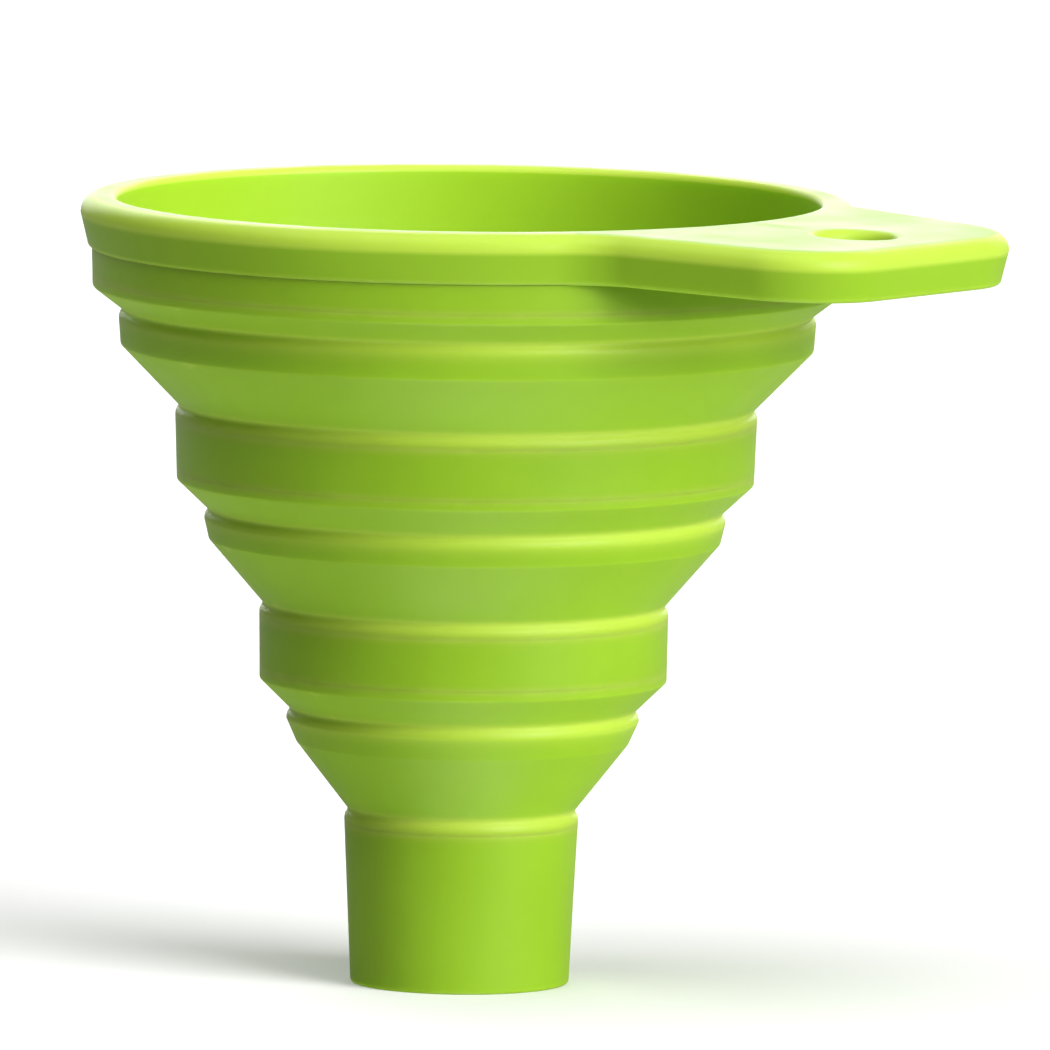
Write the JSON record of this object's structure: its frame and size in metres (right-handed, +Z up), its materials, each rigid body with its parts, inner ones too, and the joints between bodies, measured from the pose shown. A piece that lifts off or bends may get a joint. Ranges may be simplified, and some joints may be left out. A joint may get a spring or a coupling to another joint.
{
  "type": "collapsible canning funnel",
  "caption": "Collapsible silicone kitchen funnel: wide flat rim with hang tab, stepped folding wall and straight spout.",
  "frame": {"origin": "on the funnel's axis, at the spout's lower end", "axes": "+Z up along the axis towards the rim, +X along the hang tab"},
  "size_m": [0.1247, 0.0994, 0.101],
  "materials": {
    "silicone": "satin"
  },
  "bodies": {
    "spout_body": {"spout": "silicone", "lower_hinge": "silicone"},
    "middle_body": {"middle_band": "silicone", "middle_hinge": "silicone", "lower_shoulder": "silicone", "lower_step": "silicone", "lower_cone": "silicone"},
    "upper_body": {"upper_band": "silicone", "upper_hinge": "silicone", "middle_shoulder": "silicone", "middle_step": "silicone", "middle_cone": "silicone"},
    "rim_body": {"rim_flange": "silicone", "hang_tab": "silicone", "rim_collar": "silicone", "upper_shoulder": "silicone", "upper_step": "silicone", "upper_cone": "silicone"}
  },
  "joints": [
    {"name": "lower_fold", "type": "slide", "parent": "spout_body", "child": "middle_body", "axis": [0, 0, -1], "range_m": [0, 0.0223], "deforming": ["lower_hinge"]},
    {"name": "middle_fold", "type": "slide", "parent": "middle_body", "child": "upper_body", "axis": [0, 0, -1], "range_m": [0, 0.02535], "deforming": ["middle_hinge"]},
    {"name": "upper_fold", "type": "slide", "parent": "upper_body", "child": "rim_body", "axis": [0, 0, -1], "range_m": [0, 0.02405], "deforming": ["upper_hinge"]}
  ]
}
